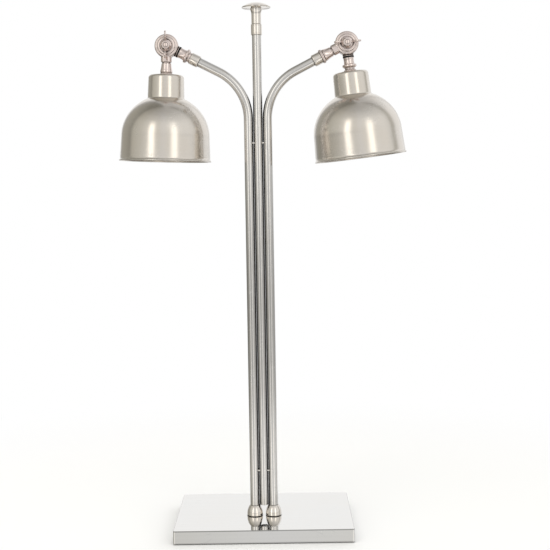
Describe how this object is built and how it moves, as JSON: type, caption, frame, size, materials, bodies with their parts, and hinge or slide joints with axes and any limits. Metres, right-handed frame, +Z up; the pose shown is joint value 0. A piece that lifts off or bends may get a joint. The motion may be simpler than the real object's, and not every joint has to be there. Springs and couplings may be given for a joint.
{
  "type": "heat lamp warmer",
  "caption": "Tabletop food warmer: bell-shaped heat lamps on bent tube arms that tilt on wing-nut swivels, carried by upright posts on a flat weighted base.",
  "frame": {"origin": "centre of the underside of the base pad, on the surface that the warmer stands on", "axes": "+Z up along the posts, +X towards the right-hand lamp seen from the front, -Y towards the front (wing nut side)"},
  "size_m": [0.4915, 0.231, 0.909],
  "materials": {
    "polished_base": "mirror polished, faint wiping marks",
    "chromed_tube": "bright polished, fine lengthwise polishing lines",
    "chromed_fitting": "bright polished",
    "nickel_swivel": "polished cast metal, slightly soft edges",
    "nickel_shade": "satin-bright spun metal, warm grey",
    "black_washer": "matte fibre",
    "zinc_steel": "zinc plated",
    "cast_ballast": "as cast, painted dark",
    "rubber_pad": "matte",
    "black_nylon": "moulded",
    "cream_thermoplastic": "moulded",
    "lead_jacket": "smooth jacket",
    "porcelain": "glazed white porcelain",
    "brass_shell": "pressed brass",
    "bulb_cap_metal": "pressed metal",
    "bulb_glass": "frosted face, silvered reflector behind"
  },
  "bodies": {
    "stand": {"base_pad": "rubber_pad", "base_shell": "polished_base", "base_bottom_plate": "zinc_steel", "ballast_plate": "cast_ballast", "bottom_plate_screws": "zinc_steel", "base_standoffs": "zinc_steel", "cord_bushing": "black_nylon", "terminal_block": "cream_thermoplastic", "left_post_tube": "chromed_tube", "right_post_tube": "chromed_tube", "left_supply_lead": "lead_jacket", "right_supply_lead": "lead_jacket", "left_domed_nut": "chromed_fitting", "right_domed_nut": "chromed_fitting", "post_locknuts": "zinc_steel", "centre_rod": "chromed_tube", "upper_spacers": "chromed_tube", "lower_spacers": "chromed_tube", "finial_collar": "chromed_fitting", "finial_stud": "zinc_steel", "finial_knob": "chromed_fitting", "left_arm_knuckle": "nickel_swivel", "left_arm_washer": "black_washer", "left_friction_washer": "black_washer", "left_arm_ferrule": "nickel_swivel", "left_tube_collar": "chromed_fitting", "left_knuckle_bolt": "zinc_steel", "right_arm_knuckle": "nickel_swivel", "right_arm_ferrule": "nickel_swivel", "right_arm_ring_nut": "nickel_swivel", "right_tube_collar": "chromed_fitting"},
    "left_lamp": {"left_lamp_knuckle": "nickel_swivel", "left_lamp_ferrule": "nickel_swivel", "left_lamp_ring_nut": "nickel_swivel", "left_shade": "nickel_shade", "left_lamp_nipple": "zinc_steel", "left_shade_nut": "zinc_steel", "left_socket": "porcelain", "left_screw_shell": "brass_shell", "left_bulb_cap": "bulb_cap_metal", "left_bulb_glass": "bulb_glass", "left_lamp_lead": "lead_jacket"},
    "right_lamp": {"right_lamp_knuckle": "nickel_swivel", "right_lamp_ferrule": "nickel_swivel", "right_lamp_ring_nut": "nickel_swivel", "right_shade": "nickel_shade", "right_lamp_nipple": "zinc_steel", "right_shade_nut": "zinc_steel", "right_socket": "porcelain", "right_screw_shell": "brass_shell", "right_bulb_cap": "bulb_cap_metal", "right_bulb_glass": "bulb_glass", "right_lamp_lead": "lead_jacket", "right_lamp_washer": "black_washer", "right_friction_washer": "black_washer", "right_knuckle_bolt": "zinc_steel"},
    "left_clamp": {"left_clamp_washer": "nickel_swivel"},
    "left_nut": {"left_wing_nut": "nickel_swivel"},
    "right_clamp": {"right_clamp_washer": "nickel_swivel"},
    "right_nut": {"right_wing_nut": "nickel_swivel"}
  },
  "joints": [
    {"name": "left_lamp_tilt", "type": "hinge", "parent": "stand", "child": "left_lamp", "pos_m": [-0.15302, -0.0245, 0.83786], "axis": [0, 1, 0], "range_deg": [-15, 88]},
    {"name": "right_lamp_tilt", "type": "hinge", "parent": "stand", "child": "right_lamp", "pos_m": [0.15302, -0.0245, 0.83786], "axis": [0, -1, 0], "range_deg": [-19.5, 83.5]},
    {"name": "left_clamp_travel", "type": "slide", "parent": "stand", "child": "left_clamp", "axis": [0, -1, 0], "range_m": [0, 0.00125]},
    {"name": "left_wing_nut_turn", "type": "hinge", "parent": "left_clamp", "child": "left_nut", "pos_m": [-0.15302, -0.0245, 0.83786], "axis": [0, -1, 0], "range_deg": [0, 360]},
    {"name": "right_clamp_travel", "type": "slide", "parent": "right_lamp", "child": "right_clamp", "axis": [0, -1, 0], "range_m": [0, 0.00125]},
    {"name": "right_wing_nut_turn", "type": "hinge", "parent": "right_clamp", "child": "right_nut", "pos_m": [0.15302, -0.0245, 0.83786], "axis": [0, -1, 0], "range_deg": [0, 360]}
  ],
  "couplings": [
    {"joint": "left_wing_nut_turn", "follows": "left_clamp_travel", "rad_per_m": 5026.5},
    {"joint": "right_wing_nut_turn", "follows": "right_clamp_travel", "rad_per_m": 5026.5}
  ]
}
